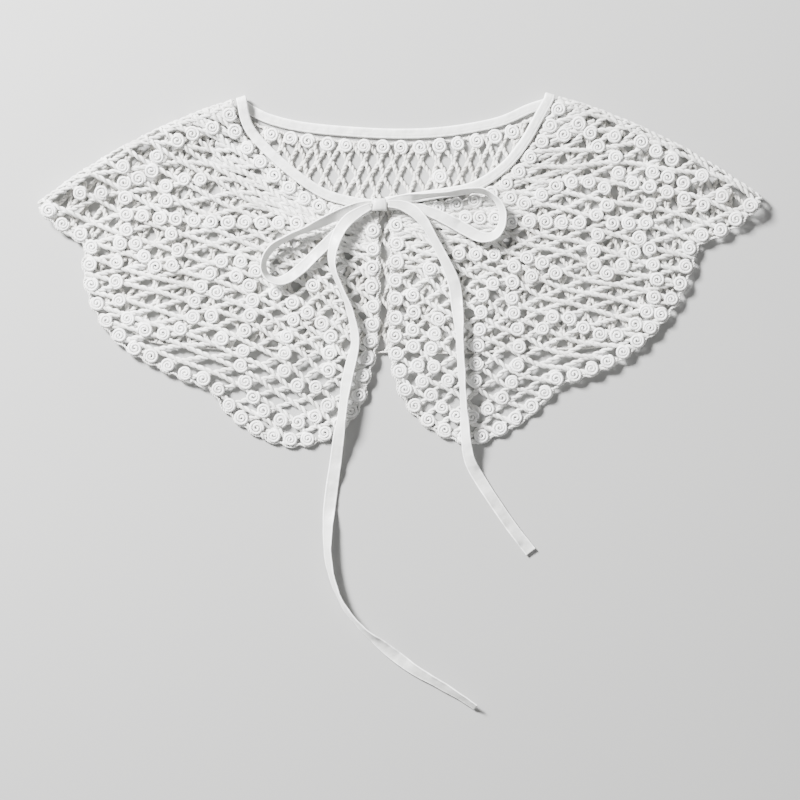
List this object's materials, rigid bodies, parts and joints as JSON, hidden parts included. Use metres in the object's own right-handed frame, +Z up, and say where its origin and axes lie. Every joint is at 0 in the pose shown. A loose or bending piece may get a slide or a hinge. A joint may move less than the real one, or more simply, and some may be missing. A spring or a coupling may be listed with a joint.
{
  "type": "lace collar",
  "caption": "Detachable lace collar with scalloped lobes and raised rosettes, laid flat with folded shoulders, its neck edge bound and its tape tie done up in a bow.",
  "frame": {"origin": "on the resting surface, under the middle of the collar's box without its loops and tails", "axes": "+X to the right as the collar is seen from above, along its longest extent; +Y to the back of the neck; +Z up off the surface, along its shortest extent"},
  "size_m": [0.4359, 0.37, 0.0128],
  "materials": {
    "lace": "matt ivory cotton cord lace",
    "binding": "smooth white poplin binding",
    "tape": "white satin tape"
  },
  "bodies": {
    "root": {"lace_back": "lace", "lace_front_left": "lace", "lace_front_right": "lace", "binding_back": "binding", "binding_front_left": "binding", "binding_front_right": "binding", "bow_knot": "tape", "bow_loop_left": "tape", "bow_loop_right": "tape", "tie_tail_left": "tape", "tie_tail_right": "tape"}
  },
  "joints": []
}
